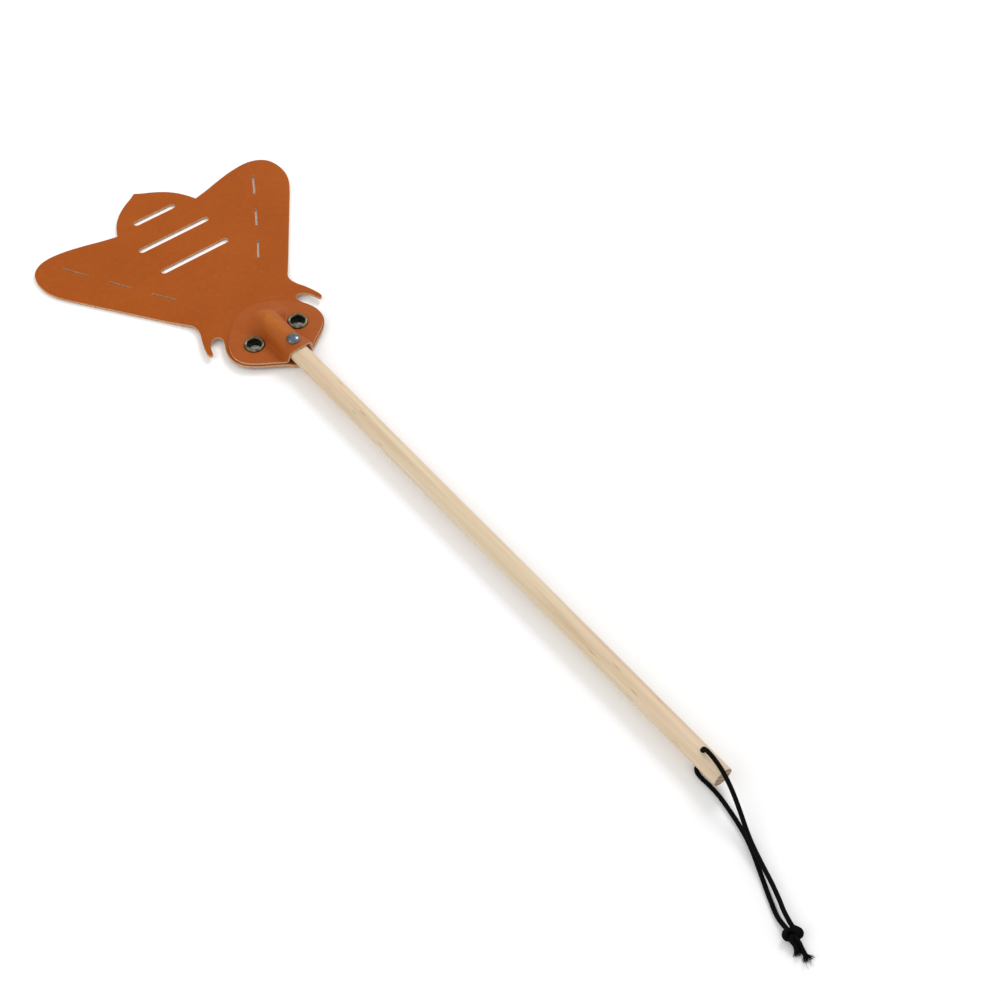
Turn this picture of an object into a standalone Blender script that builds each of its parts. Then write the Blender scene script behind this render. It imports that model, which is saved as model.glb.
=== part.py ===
"""Leather fly swatter cut in the shape of a fly, on a turned wooden dowel.

A die-cut leather blade and a leather face patch clamp the end of a dowel between them.
Two eyelets make the fly's eyes and one rivet pins leather, dowel and leather together.
A braided cord loop, tied in one overhand knot, runs through a hole near the dowel's tail.

The swatter lies on a table: +Z up, the dowel along Y with its tail at -Y, origin at the
middle of the footprint. Outline points are in millimetres from the rivet's row; every
other size is in metres.
"""

import math

import bmesh
import bpy
from mathutils import Vector
from mathutils.geometry import delaunay_2d_cdt

MM = 0.001

# Overall layout
OVERALL_LENGTH = 0.558
TIP_TO_RIVET = 0.182
RIVET_Y = OVERALL_LENGTH / 2 - TIP_TO_RIVET
GAP = 0.0003

# Dowel
DOWEL_DIAMETER = 0.012
DOWEL_RADIUS = DOWEL_DIAMETER / 2
DOWEL_CLEARANCE = 0.0034
DOWEL_AXIS_Z = DOWEL_CLEARANCE + DOWEL_RADIUS
DOWEL_TAIL_Y = -OVERALL_LENGTH / 2
DOWEL_INSIDE_Y = RIVET_Y + 0.027
DOWEL_EDGE_BREAK = 0.0004
CORD_HOLE_FROM_TAIL = 0.0162
CORD_HOLE_Y = DOWEL_TAIL_Y + CORD_HOLE_FROM_TAIL
CORD_HOLE_RADIUS = 0.0016

# Leather
BLADE_THICKNESS = 0.002
PATCH_THICKNESS = 0.0015
HEAD_LIFT = 0.0011
HEAD_SIDE_RISE = 0.0013
CRADLE_HALF_WIDTH = 0.007
HEAD_FLAT_FROM = 0.036
WING_FLAT_FROM = 0.076
BULGE_RADIUS = DOWEL_RADIUS + GAP
BULGE_SIDE_SLOPE = math.radians(12)
BULGE_FOOT_RADIUS = 0.002
BULGE_ROWS = [-0.016, 0.01, 0.028, 0.0315, 0.035, 0.0385, 0.042, 0.052]
BULGE_FADE_TO = 0.0455

# The blade bends at its neck, where its two sections meet.
FLEX_Y = RIVET_Y + 0.056
FLEX_GAP = 0.0016
FLEX_Z = 0.0019

# Eyelets
EYE_X = 0.0162
EYE_Y = RIVET_Y + 0.019
EYE_BORE_RADIUS = 0.00425
EYE_BARREL_WALL = 0.0005
EYE_RIM_RADIUS = 0.0065
EYE_RIM_HEIGHT = 0.0012
EYE_LEATHER_RADIUS = EYE_BORE_RADIUS + EYE_BARREL_WALL + GAP
WASHER_THICKNESS = 0.0005

# Rivet
RIVET_CAP_RADIUS = 0.0042
RIVET_CAP_HEIGHT = 0.002
RIVET_POST_RADIUS = 0.0013
RIVET_HOLE_RADIUS = 0.0017
RIVET_BACK_RADIUS = 0.004
RIVET_BACK_BOTTOM = 0.00015

# Cord
CORD_DIAMETER = 0.0025
CORD_RADIUS = CORD_DIAMETER / 2
CORD_POINT_SPACING = 0.005
KNOT_CENTRE = (-0.0303, DOWEL_TAIL_Y - 0.0805, 0.0038)
KNOT_HALF_SIZE = (0.0054, 0.0042, 0.0036)
KNOT_HEADING = math.radians(-25)

# The right half of the blade, from the tail tip down to the chin. A corner separates
# the tail lobe from the wing; each list is one smooth stretch.
TAIL_LOBE_MM = [
    (0, 182), (4.5, 179.2), (10.5, 176), (17, 171.6), (22.5, 166.3), (26.7, 160.4), (30, 154),
]
WING_AND_FACE_MM = [
    (30, 154), (40, 156.3), (52, 159.6), (64, 162.2), (75, 163), (83, 161.2), (88.8, 156.8),
    (91.6, 150), (92, 141.5), (90, 133.6), (85.5, 125.5), (75, 111), (64, 96), (53, 81),
    (43.5, 68), (38.6, 61.4), (36, 57.5), (35.3, 53), (36.3, 48.2), (38.8, 42.5), (41, 36.5),
    (42.3, 31.6), (42, 29.2), (40.6, 28.5), (39.4, 29.9), (38.4, 33), (36.6, 36.2),
    (34, 38.8), (31.2, 39.8), (28.9, 38.4), (28.2, 35.7), (29.2, 32.4), (30.9, 29),
    (32.6, 24.5), (33.2, 20), (32.6, 15.2), (30.4, 10.6), (26.6, 6.6), (21, 2.6), (15, -1),
    (9.5, -4.6), (5, -7.6), (0, -9.3),
]
# The right half of the face patch, from its crown to its chin.
PATCH_MM = [
    (0, 48.2), (7, 47), (14, 43.4), (20.6, 38.2), (25.8, 32.6), (29.4, 27), (31.4, 21.5),
    (31.8, 16.4), (30, 11.4), (26.2, 7.2), (20.8, 3.3), (14.8, -0.4), (8.8, -4.3), (0, -8.3),
]
# Belly slots: half length and row, in millimetres
BELLY_SLOTS_MM = [(15.6, 157), (26.3, 133.6), (25.2, 109.4)]
BELLY_SLOT_WIDTH = 0.0042
# Wing slits of the right wing: inner end and outer end
WING_SLITS_MM = [
    ((31.2, 83.6), (40.2, 97)), ((47.4, 108.8), (56.1, 122.4)), ((63.5, 134.4), (72.8, 149.8)),
]
WING_SLIT_WIDTH = 0.0012
PINHOLES_MM = [
    (0, 86), (9.8, 85), (-9.8, 85), (18.4, 79.6), (-18.4, 79.6), (25.3, 72), (-25.3, 72),
    (16.6, 47.6), (-16.6, 47.6),
]
PINHOLE_RADIUS = 0.0006

# Cord routes by hand, in millimetres: across, along from the dowel's tail, up
UPPER_ROUTE_MM = [
    (0, 16.2, 15.9), (-0.1, 15.6, 17.6), (-0.4, 13.2, 18.9), (-0.8, 9.3, 19.3), (-1.3, 4.8, 18.9),
    (-1.9, 0.2, 17.8), (-2.8, -4.5, 16.2), (-3.8, -9, 14.3), (-5.1, -13.6, 12.2),
    (-6.6, -18.2, 10.2), (-8.3, -22.8, 8.4), (-10.2, -27.6, 6.9), (-12.4, -33.4, 5.7),
    (-14.6, -40, 4.9), (-17, -47.4, 4.5), (-19.5, -55.2, 4.3), (-22.7, -63.4, 4.3),
    (-26, -70.6, 4.8), (-28.2, -74.9, 5.1),
]
LOWER_ROUTE_MM = [
    (1, 16.2, 1.75), (-1.2, 16, 1.6), (-3.3, 14.8, 1.45), (-4.7, 12.4, 1.3), (-5, 8.7, 1.3),
    (-4.8, 4.3, 1.3), (-4.9, -1.3, 1.3), (-5.5, -6.8, 1.3), (-6.5, -12.3, 1.3), (-7.7, -18.2, 1.3),
    (-9.1, -23.8, 1.3), (-10.9, -29.9, 1.3), (-13.7, -36.8, 1.3), (-17, -43.8, 1.3),
    (-20.9, -51.8, 1.3), (-25.2, -60.8, 1.3), (-28.7, -69, 1.4), (-31, -74.7, 2.3),
]
LONG_TAIL_MM = [
    (-30.9, -86, 3.4), (-31.4, -88.2, 2.4), (-31.9, -90.4, 1.6), (-32.5, -93.2, 1.35), (-33, -95.6, 1.35),
]
SHORT_TAIL_MM = [
    (-33.7, -86, 3.2), (-34.2, -87.8, 2.4), (-34.6, -89.6, 1.7), (-34.9, -91, 1.4),
]

TAN = (0.40, 0.10, 0.02, 1.0)
PALE_WOOD = (0.78, 0.63, 0.44, 1.0)
OLD_BRASS = (0.30, 0.26, 0.16, 1.0)
NICKEL = (0.55, 0.55, 0.55, 1.0)
BLACK = (0.012, 0.012, 0.013, 1.0)


# ---- scene helpers ----

def clear_scene():
    """Start from an empty file's worth of objects."""
    for obj in list(bpy.data.objects):
        bpy.data.objects.remove(obj, do_unlink=True)


def new_collection(name):
    """A collection linked to the scene."""
    collection = bpy.data.collections.new(name)
    bpy.context.scene.collection.children.link(collection)
    return collection


def material(name, colour, roughness, metallic=0.0):
    """A Principled material with one colour."""
    mat = bpy.data.materials.new(name)
    mat.use_nodes = True
    shader = mat.node_tree.nodes["Principled BSDF"]
    shader.inputs["Base Color"].default_value = colour
    shader.inputs["Roughness"].default_value = roughness
    shader.inputs["Metallic"].default_value = metallic
    return mat


def add_object(name, data, collection, mat=None):
    """Put object data in a collection under a plain name."""
    obj = bpy.data.objects.new(name, data)
    collection.objects.link(obj)
    if mat:
        data.materials.append(mat)
    return obj


def shade_round(mesh, angle=35):
    """Smooth shading that keeps edges sharper than the angle."""
    mesh.shade_smooth()
    mesh.set_sharp_from_angle(angle=math.radians(angle))


def cut(obj, cutter):
    """Take the cutter's volume out of the object."""
    boolean = obj.modifiers.new("cut_" + cutter.name, "BOOLEAN")
    boolean.operation = "DIFFERENCE"
    boolean.solver = "EXACT"
    boolean.object = cutter


def hide_cutter(obj):
    """Cutters are guides, not parts of the swatter."""
    obj.hide_render = True
    obj.display_type = "WIRE"
    return obj


# ---- outlines ----

def catmull_rom(a, b, c, d, t):
    """The point at t between b and c on the spline through a, b, c and d."""
    return 0.5 * (
        2 * b + (c - a) * t + (2 * a - 5 * b + 4 * c - d) * t * t + (3 * b - a - 3 * c + d) * t ** 3
    )


def smooth_line(points, spacing):
    """Points along a smooth curve through the given ones, both ends included."""
    points = [Vector(point) for point in points]
    padded = [2 * points[0] - points[1]] + points + [2 * points[-1] - points[-2]]
    line = []
    for index in range(1, len(padded) - 2):
        a, b, c, d = padded[index - 1:index + 3]
        count = max(2, round((c - b).length / spacing))
        line += [catmull_rom(a, b, c, d, step / count) for step in range(count)]
    return line + [points[-1]]


def mirrored_ring(right_half):
    """A closed counter-clockwise ring from the right half's points, given from top to bottom."""
    left_half = [Vector((-point.x, point.y)) for point in right_half[1:-1]]
    return list(reversed(right_half)) + left_half


def blade_outline():
    """The whole fly, in millimetres."""
    lobe = smooth_line(TAIL_LOBE_MM, 5)
    wing = smooth_line(WING_AND_FACE_MM, 5)
    return mirrored_ring(lobe + wing[1:])


def patch_outline():
    """The face patch, in millimetres."""
    crown = [(-PATCH_MM[1][0], PATCH_MM[1][1])]
    chin = [(-PATCH_MM[-2][0], PATCH_MM[-2][1])]
    line = smooth_line(crown + PATCH_MM + chin, 3)
    start = line.index(min(line[:8], key=lambda point: abs(point.x)))
    end = line.index(min(line[-8:], key=lambda point: abs(point.x)))
    return mirrored_ring(line[start:end + 1])


def ring(x, y, radius, count):
    """A circle of points, in millimetres."""
    angles = [2 * math.pi * index / count for index in range(count)]
    return [Vector((x + radius * math.cos(angle), y + radius * math.sin(angle))) for angle in angles]


def slot(start, end, width, arc_points=6):
    """A round-ended slot between two end points of its overall length."""
    start, end = Vector(start), Vector(end)
    along = (end - start).normalized()
    across = Vector((-along.y, along.x))
    radius = width / 2
    points = []
    for centre, forward in ((end - along * radius, along), (start + along * radius, -along)):
        side = -across if forward == along else across
        for index in range(arc_points + 1):
            angle = math.pi * index / arc_points
            points.append(centre + radius * (side * math.cos(angle) + forward * math.sin(angle)))
    return points


def blade_holes():
    """Slots, slits, pinholes and the holes for eyelets and rivet, in millimetres."""
    holes = []
    for half_length, row in BELLY_SLOTS_MM:
        holes.append(slot((-half_length, row), (half_length, row), BELLY_SLOT_WIDTH / MM))
    for inner, outer in WING_SLITS_MM:
        holes.append(slot(inner, outer, WING_SLIT_WIDTH / MM, 4))
        holes.append(slot((-inner[0], inner[1]), (-outer[0], outer[1]), WING_SLIT_WIDTH / MM, 4))
    for x, y in PINHOLES_MM:
        holes.append(ring(x, y, PINHOLE_RADIUS / MM, 6))
    return holes + clamp_holes()


def clamp_holes():
    """The holes that both leathers share, in millimetres."""
    eye_row = (EYE_Y - RIVET_Y) / MM
    eyes = [ring(side * EYE_X / MM, eye_row, EYE_LEATHER_RADIUS / MM, 24) for side in (-1, 1)]
    return eyes + [ring(0, 0, RIVET_HOLE_RADIUS / MM, 12)]


# ---- the leather's height over the table ----

def smoothstep(start, end, value):
    """0 before start, 1 after end, smooth between."""
    t = min(1.0, max(0.0, (value - start) / (end - start)))
    return t * t * (3 - 2 * t)


def blade_bottom(x, y):
    """The blade cradles the dowel under the head and lies flat at the wings."""
    cradle = 1 - math.exp(-(abs(x) / CRADLE_HALF_WIDTH) ** 4)
    raised = HEAD_LIFT + HEAD_SIDE_RISE * cradle
    return raised * (1 - smoothstep(HEAD_FLAT_FROM, WING_FLAT_FROM, y))


def patch_level(x, y):
    """The height of the patch's underside where it lies flat on the blade."""
    return blade_bottom(x, y) + BLADE_THICKNESS + GAP


def bulge_section(level):
    """The patch's underside around the dowel: an arc, a steep side and a rounded foot."""
    slope = BULGE_SIDE_SLOPE
    foot = BULGE_FOOT_RADIUS
    turn = math.pi / 2 - slope
    drop = DOWEL_AXIS_Z + BULGE_RADIUS * math.sin(slope) - level
    corner_x = BULGE_RADIUS * math.cos(slope) + drop * math.tan(slope)
    foot_x = corner_x + foot * math.tan(turn / 2)
    points = []
    for step in range(6):
        angle = math.pi / 2 - turn * step / 5
        points.append((BULGE_RADIUS * math.cos(angle), DOWEL_AXIS_Z + BULGE_RADIUS * math.sin(angle)))
    for step in range(5):
        angle = math.pi + slope + turn * step / 4
        points.append((foot_x + foot * math.cos(angle), level + foot + foot * math.sin(angle)))
    return points + [(foot_x + 0.008, level), (0.04, level)]


# ---- leather sheets ----

def inner_points(outline, rings, spacing_x, spacing_y):
    """A grid of points that keeps clear of the outline and of every ring."""
    edge = [point for loop in [outline] + rings for point in loop]
    low_x = min(point.x for point in outline)
    low_y = min(point.y for point in outline)
    high_x = max(point.x for point in outline)
    high_y = max(point.y for point in outline)
    clear = 0.55 * min(spacing_x, spacing_y)
    columns = int((high_x - low_x) / spacing_x)
    rows = int((high_y - low_y) / spacing_y)
    points = []
    for row in range(1, rows + 1):
        for column in range(-columns // 2, columns // 2 + 1):
            point = Vector((column * spacing_x, low_y + row * spacing_y))
            if all((point - other).length > clear for other in edge):
                points.append(point)
    return points


def sheet_mesh(name, outline, holes, spacing_x, spacing_y, bottom):
    """A one-sided sheet over the outline, lifted to the height that bottom gives."""
    loops = [outline] + holes
    coordinates = []
    faces = []
    for loop in loops:
        faces.append(list(range(len(coordinates), len(coordinates) + len(loop))))
        coordinates += loop
    coordinates += inner_points(outline, holes, spacing_x, spacing_y)
    points, _, triangles, _, _, sources = delaunay_2d_cdt(coordinates, [], faces, 1, 1e-5)
    sheet = bmesh.new()
    corners = []
    for point in points:
        x, y = point.x * MM, point.y * MM
        corners.append(sheet.verts.new((x, y + RIVET_Y, bottom(x, y))))
    for triangle, source in zip(triangles, sources):
        if source == [0]:
            sheet.faces.new([corners[index] for index in triangle])
    loose = [corner for corner in corners if not corner.link_faces]
    bmesh.ops.delete(sheet, geom=loose, context="VERTS")
    bmesh.ops.recalc_face_normals(sheet, faces=sheet.faces)
    if sum(face.normal.z for face in sheet.faces) < 0:
        bmesh.ops.reverse_faces(sheet, faces=sheet.faces)
    mesh = bpy.data.meshes.new(name)
    sheet.to_mesh(mesh)
    sheet.free()
    return mesh


def thicken(obj, thickness):
    """Give a sheet its leather thickness upwards."""
    solidify = obj.modifiers.new("thickness", "SOLIDIFY")
    solidify.thickness = thickness
    solidify.offset = 1
    solidify.use_even_offset = False


def half_space(name, low_y, high_y, collection):
    """A box across the whole blade between two rows, used to cut it."""
    solid = bmesh.new()
    bmesh.ops.create_cube(solid, size=1)
    bmesh.ops.scale(solid, vec=(0.3, high_y - low_y, 0.1), verts=solid.verts)
    mesh = bpy.data.meshes.new(name)
    solid.to_mesh(mesh)
    solid.free()
    box = hide_cutter(add_object(name, mesh, collection))
    box.location = (0, (low_y + high_y) / 2, 0)
    return box


def build_blade(parts, cutters, leather):
    """The blade in two sections, one each side of the neck it bends at."""
    mesh = sheet_mesh("blade_sheet", blade_outline(), blade_holes(), 9, 9, blade_bottom)
    wings_cutter = half_space("neck_cut_below", -0.3, FLEX_Y + FLEX_GAP / 2, cutters)
    head_cutter = half_space("neck_cut_above", FLEX_Y - FLEX_GAP / 2, 0.4, cutters)
    mesh.materials.append(leather)
    hinge = add_empty("blade_flex_axis", (0, FLEX_Y, FLEX_Z), parts)
    for name, cutter in (("blade_head", head_cutter), ("blade_wings", wings_cutter)):
        section = add_object(name, mesh, parts)
        thicken(section, BLADE_THICKNESS)
        cut(section, cutter)
        if name == "blade_wings":
            section.parent = hinge
            section.matrix_parent_inverse = hinge.matrix_world.inverted()


def add_empty(name, location, collection):
    """An empty that marks a joint's axis."""
    empty = bpy.data.objects.new(name, None)
    collection.objects.link(empty)
    empty.location = location
    bpy.context.view_layer.update()
    return empty


def prism(name, outline, collection):
    """A tall block over an outline in millimetres, used to trim a sheet."""
    solid = bmesh.new()
    face = solid.faces.new([solid.verts.new((p.x * MM, p.y * MM + RIVET_Y, -0.01)) for p in outline])
    block = bmesh.ops.extrude_face_region(solid, geom=[face])["geom"]
    raised = [item for item in block if isinstance(item, bmesh.types.BMVert)]
    bmesh.ops.translate(solid, vec=(0, 0, 0.04), verts=raised)
    bmesh.ops.recalc_face_normals(solid, faces=solid.faces)
    mesh = bpy.data.meshes.new(name)
    solid.to_mesh(mesh)
    solid.free()
    return hide_cutter(add_object(name, mesh, collection))


def patch_sheet():
    """A strip of leather over the dowel, fading into a flat sheet past the dowel's end."""
    flat = patch_level(EYE_X, 0)
    half = bulge_section(flat)
    section = [(-x, z) for x, z in reversed(half[1:])] + half
    sheet = bmesh.new()
    rows = []
    for y in BULGE_ROWS:
        height = 1 - smoothstep(BULGE_ROWS[2], BULGE_FADE_TO, y)
        level = patch_level(EYE_X, y)
        row = [sheet.verts.new((x, y + RIVET_Y, level + (z - flat) * height)) for x, z in section]
        rows.append(row)
    for near, far in zip(rows, rows[1:]):
        for index in range(len(section) - 1):
            sheet.faces.new((near[index], near[index + 1], far[index + 1], far[index]))
    mesh = bpy.data.meshes.new("face_patch")
    sheet.to_mesh(mesh)
    sheet.free()
    return mesh


def build_patch(parts, cutters, leather):
    """The face patch over the dowel's end."""
    mesh = patch_sheet()
    shade_round(mesh)
    patch = add_object("face_patch", mesh, parts, leather)
    thicken(patch, PATCH_THICKNESS)
    trim = patch.modifiers.new("outline", "BOOLEAN")
    trim.operation = "INTERSECT"
    trim.solver = "EXACT"
    trim.object = prism("patch_outline", patch_outline(), cutters)
    for name, hole in zip(("eye_punch_left", "eye_punch_right", "rivet_punch"), clamp_holes()):
        cut(patch, prism(name, hole, cutters))


# ---- turned metal ----

def turned(name, profile, location, collection, mat, steps=32):
    """A closed profile of radius and height, turned about the vertical."""
    outline = bmesh.new()
    points = [outline.verts.new((radius, 0, height)) for radius, height in profile]
    on_axis = profile[0][0] == 0
    for first, second in zip(points, points[1:]):
        outline.edges.new((first, second))
    if not on_axis:
        outline.edges.new((points[-1], points[0]))
    mesh = bpy.data.meshes.new(name)
    outline.to_mesh(mesh)
    outline.free()
    obj = add_object(name, mesh, collection, mat)
    obj.location = location
    screw = obj.modifiers.new("turn", "SCREW")
    screw.angle = 2 * math.pi
    screw.steps = steps
    screw.render_steps = steps
    screw.use_merge_vertices = True
    screw.merge_threshold = 0.00001
    screw.use_smooth_shade = True
    return obj


def rounded_rim(inner, outer, low, high, points=7):
    """The upper half of a rolled rim, from its inner foot over its crown to its outer foot."""
    middle = (inner + outer) / 2
    half = (outer - inner) / 2
    angles = [math.pi * (1 - index / (points - 1)) for index in range(points)]
    return [(middle + half * math.cos(angle), low + (high - low) * math.sin(angle)) for angle in angles]


def build_eyelets(parts, brass):
    """Two eyelets with their back washers."""
    eye_drop = EYE_Y - RIVET_Y
    patch_top = patch_level(EYE_X, eye_drop) + PATCH_THICKNESS
    blade_underside = blade_bottom(EYE_X, eye_drop)
    barrel = EYE_BORE_RADIUS + EYE_BARREL_WALL
    rim_low = patch_top + GAP
    washer_top = blade_underside - GAP
    washer_low = washer_top - WASHER_THICKNESS
    roll_top = washer_low - 0.00015
    roll_low = roll_top - 0.0006
    profile = rounded_rim(EYE_BORE_RADIUS, EYE_RIM_RADIUS, rim_low, rim_low + EYE_RIM_HEIGHT)
    profile += [(barrel, rim_low), (barrel, roll_top), (EYE_RIM_RADIUS - 0.0008, roll_top)]
    profile += [(EYE_RIM_RADIUS - 0.0011, roll_low), (EYE_BORE_RADIUS, roll_low)]
    washer = [
        (barrel + 0.0002, washer_top), (EYE_RIM_RADIUS, washer_top), (EYE_RIM_RADIUS, washer_low),
        (barrel + 0.0002, washer_low),
    ]
    for side, label in ((-1, "left"), (1, "right")):
        place = (side * EYE_X, EYE_Y, 0)
        turned("eyelet_" + label, profile, place, parts, brass)
        turned("eyelet_washer_" + label, washer, place, parts, brass)


def build_rivet(parts, nickel):
    """A domed cap with its post, and the cap that closes it under the blade."""
    cap_low = DOWEL_AXIS_Z + BULGE_RADIUS + PATCH_THICKNESS + GAP
    back_top = blade_bottom(0, 0) - GAP
    post_low = back_top + 0.0002
    angles = [math.radians(90 - 15 * index) for index in range(6)]
    cap = [
        (RIVET_CAP_RADIUS * math.cos(angle), cap_low + 0.0004 + (RIVET_CAP_HEIGHT - 0.0004) * math.sin(angle))
        for angle in angles
    ]
    cap[0] = (0, cap_low + RIVET_CAP_HEIGHT)
    cap += [(RIVET_CAP_RADIUS, cap_low + 0.0004), (RIVET_CAP_RADIUS - 0.0003, cap_low)]
    cap += [(RIVET_POST_RADIUS, cap_low), (RIVET_POST_RADIUS, post_low), (0, post_low)]
    turned("rivet_cap", cap, (0, RIVET_Y, 0), parts, nickel)
    back = [
        (0, back_top), (RIVET_BACK_RADIUS - 0.0004, back_top), (RIVET_BACK_RADIUS, back_top - 0.00025),
        (RIVET_BACK_RADIUS - 0.0008, RIVET_BACK_BOTTOM), (0, RIVET_BACK_BOTTOM),
    ]
    turned("rivet_back", back, (0, RIVET_Y, 0), parts, nickel)


# ---- dowel ----

def cylinder(name, radius, depth, sides, collection, mat=None):
    """A primitive cylinder along Z about its own middle."""
    solid = bmesh.new()
    bmesh.ops.create_cone(
        solid, cap_ends=True, segments=sides, radius1=radius, radius2=radius, depth=depth
    )
    mesh = bpy.data.meshes.new(name)
    solid.to_mesh(mesh)
    solid.free()
    return add_object(name, mesh, collection, mat)


def build_handle(parts, cutters, wood):
    """The dowel, drilled for the cord near its tail and for the rivet near its other end."""
    length = DOWEL_INSIDE_Y - DOWEL_TAIL_Y
    handle = cylinder("handle", DOWEL_RADIUS, length, 48, parts, wood)
    handle.location = (0, (DOWEL_INSIDE_Y + DOWEL_TAIL_Y) / 2, DOWEL_AXIS_Z)
    handle.rotation_euler = (math.radians(90), 0, 0)
    shade_round(handle.data)
    bevel = handle.modifiers.new("edge_break", "BEVEL")
    bevel.width = DOWEL_EDGE_BREAK
    bevel.segments = 2
    bevel.limit_method = "ANGLE"
    for name, radius, y in (
        ("cord_drill", CORD_HOLE_RADIUS, CORD_HOLE_Y),
        ("rivet_drill", RIVET_HOLE_RADIUS, RIVET_Y),
    ):
        drill = hide_cutter(cylinder(name, radius, 3 * DOWEL_DIAMETER, 24, cutters))
        drill.location = (0, y, DOWEL_AXIS_Z)
        cut(handle, drill)


# ---- cord ----

def cord_route(points_mm):
    """A smooth run of points in metres, spaced two cord diameters apart."""
    points = [Vector((x * MM, y * MM + DOWEL_TAIL_Y, z * MM)) for x, y, z in points_mm]
    return smooth_line(points, CORD_POINT_SPACING)


def cord_tube(name, points, collection, mat):
    """A round cord with filled ends along the points."""
    curve = bpy.data.curves.new(name, "CURVE")
    curve.dimensions = "3D"
    curve.bevel_depth = CORD_RADIUS
    curve.bevel_resolution = 2
    curve.use_fill_caps = True
    spline = curve.splines.new("POLY")
    spline.points.add(len(points) - 1)
    for target, point in zip(spline.points, points):
        target.co = (*point, 1)
    add_object(name, curve, collection, mat)


def build_cord(parts, black):
    """The loop through the dowel, its knot and its two tails."""
    hole_low = DOWEL_CLEARANCE - 0.0001
    hole_high = DOWEL_AXIS_Z + DOWEL_RADIUS
    inside = [Vector((0, CORD_HOLE_Y, hole_low)), Vector((0, CORD_HOLE_Y, hole_high))]
    cord_tube("cord_inside_handle", inside, parts, black)
    cord_tube("cord_upper_strand", cord_route(UPPER_ROUTE_MM), parts, black)
    cord_tube("cord_lower_strand", cord_route(LOWER_ROUTE_MM), parts, black)
    cord_tube("cord_long_tail", cord_route(LONG_TAIL_MM), parts, black)
    cord_tube("cord_short_tail", cord_route(SHORT_TAIL_MM), parts, black)
    ball = bmesh.new()
    bmesh.ops.create_uvsphere(ball, u_segments=20, v_segments=12, radius=1)
    bmesh.ops.scale(ball, vec=KNOT_HALF_SIZE, verts=ball.verts)
    mesh = bpy.data.meshes.new("cord_knot")
    ball.to_mesh(mesh)
    ball.free()
    shade_round(mesh)
    knot = add_object("cord_knot", mesh, parts, black)
    knot.location = KNOT_CENTRE
    knot.rotation_euler = (0, 0, KNOT_HEADING)


def main():
    """Build the whole swatter."""
    clear_scene()
    parts = new_collection("fly_swatter")
    cutters = new_collection("cutters")
    leather = material("tan_leather", TAN, 0.5)
    wood = material("pale_wood", PALE_WOOD, 0.6)
    brass = material("antique_brass", OLD_BRASS, 0.4, 1.0)
    nickel = material("nickel", NICKEL, 0.3, 1.0)
    black = material("black_cord", BLACK, 0.8)
    build_handle(parts, cutters, wood)
    build_blade(parts, cutters, leather)
    build_patch(parts, cutters, leather)
    build_eyelets(parts, brass)
    build_rivet(parts, nickel)
    build_cord(parts, black)


main()
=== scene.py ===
"""Looks for the leather fly swatter: leather, wood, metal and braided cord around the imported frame."""

import math
import random

import bmesh
import bpy
from mathutils import Matrix, Vector
from mathutils.geometry import delaunay_2d_cdt
from mathutils.kdtree import KDTree


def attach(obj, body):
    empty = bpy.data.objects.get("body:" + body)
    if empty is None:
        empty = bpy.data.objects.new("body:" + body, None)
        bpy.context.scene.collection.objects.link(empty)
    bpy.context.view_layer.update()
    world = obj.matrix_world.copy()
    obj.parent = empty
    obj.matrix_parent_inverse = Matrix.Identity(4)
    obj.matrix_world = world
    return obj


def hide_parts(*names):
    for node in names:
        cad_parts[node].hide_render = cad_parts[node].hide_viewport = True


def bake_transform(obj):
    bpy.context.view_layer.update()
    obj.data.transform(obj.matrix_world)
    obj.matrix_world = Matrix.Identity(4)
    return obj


MM = 0.001

# Folds sharper than these stay sharp in the shading, in degrees
LEATHER_FOLD = 50
TURNED_FOLD = 40
CORD_FOLD = 60

# The frame's own sizes, in metres
OVERALL_LENGTH = 0.558
RIVET_Y = OVERALL_LENGTH / 2 - 0.182
TAIL_Y = -OVERALL_LENGTH / 2
DOWEL_RADIUS = 0.006
DOWEL_UNDERSIDE_Z = 0.0034
DOWEL_AXIS_Z = DOWEL_UNDERSIDE_Z + DOWEL_RADIUS
DOWEL_INSIDE_Y = RIVET_Y + 0.027
DOWEL_END_ROUNDING = 0.0005
CORD_HOLE_Y = TAIL_Y + 0.0162
CORD_HOLE_RADIUS = 0.0016

# Leather, in millimetres
BLADE_THICKNESS = 2.0
PATCH_THICKNESS = 1.5
LAYER_GAP = 0.2
EDGE_ROUNDING = 0.3
HEAD_LIFT = 1.1
HEAD_SIDE_RISE = 1.3
CRADLE_HALF_WIDTH = 7.0
HEAD_FLAT_FROM = 36.0
WING_FLAT_FROM = 76.0
BULGE_RADIUS = 6.25
STEEP_SLOPE = math.radians(13)
SOFT_SLOPE = math.radians(52)
STEEP_FOOT = 2.2
SOFT_FOOT = 5.0
SOFTEN_FROM = 18.5
SOFTEN_TO = 33.0
FADE_FROM = 26.5
FADE_TO = 46.0
DIMPLE_DEPTH = 0.2
DIMPLE_RADIUS = 5.2
MOUTH_FLARE = 2.1
BLADE_SPACING = 2.2
BLADE_EDGE_SPACING = 1.3
PATCH_SPACING = 1.3
PATCH_EDGE_SPACING = 0.8

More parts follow.
